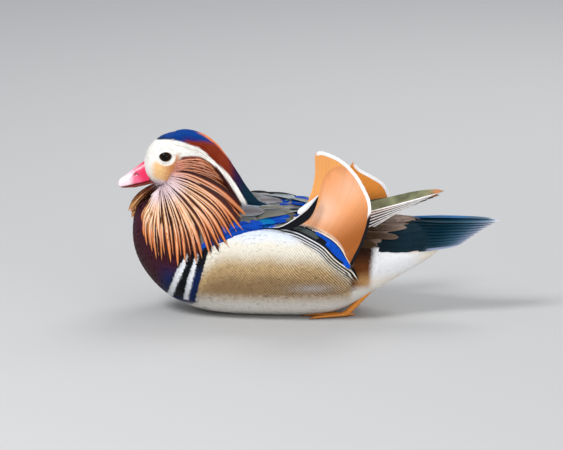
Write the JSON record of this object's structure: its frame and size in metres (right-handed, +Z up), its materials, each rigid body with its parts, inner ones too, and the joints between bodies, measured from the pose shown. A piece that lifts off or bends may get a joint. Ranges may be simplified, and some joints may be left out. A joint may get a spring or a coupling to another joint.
{
  "type": "mandarin duck",
  "caption": "Life-size drake of a crested perching duck at rest on its belly as it floats, with raised orange sail feathers, a swept crest and a ruff of hackles.",
  "frame": {"origin": "on the flat of the belly that the duck rests on, on its midline", "axes": "+Z up, +X towards the tail and -X towards the bill, -Y towards the duck's left side"},
  "size_m": [0.3506, 0.1371, 0.166],
  "materials": {
    "breast": "glossy plumage, maroon breast, buff flank and white belly",
    "neck": "soft plumage, chestnut",
    "head": "plumage, white face, copper crest and orange hackles",
    "bill": "smooth horn, pinkish red with a pale nail",
    "eye": "wet and glossy",
    "scapular": "glossy plumage, grey-brown and blue",
    "wing": "glossy plumage, olive grey and blue",
    "sail": "stiff feather, orange with a white edge",
    "tail": "stiff feathers, dark teal",
    "leg": "scaled skin, orange"
  },
  "bodies": {
    "root": {"torso": "breast", "neck": "neck", "head": "head", "bill_upper": "bill", "bill_lower": "bill", "eye_left": "eye", "eye_right": "eye", "scapulars_left": "scapular", "scapulars_right": "scapular", "wing_left": "wing", "wing_right": "wing", "sail_left": "sail", "sail_right": "sail", "tail": "tail", "leg_left": "leg", "leg_right": "leg"}
  },
  "joints": []
}
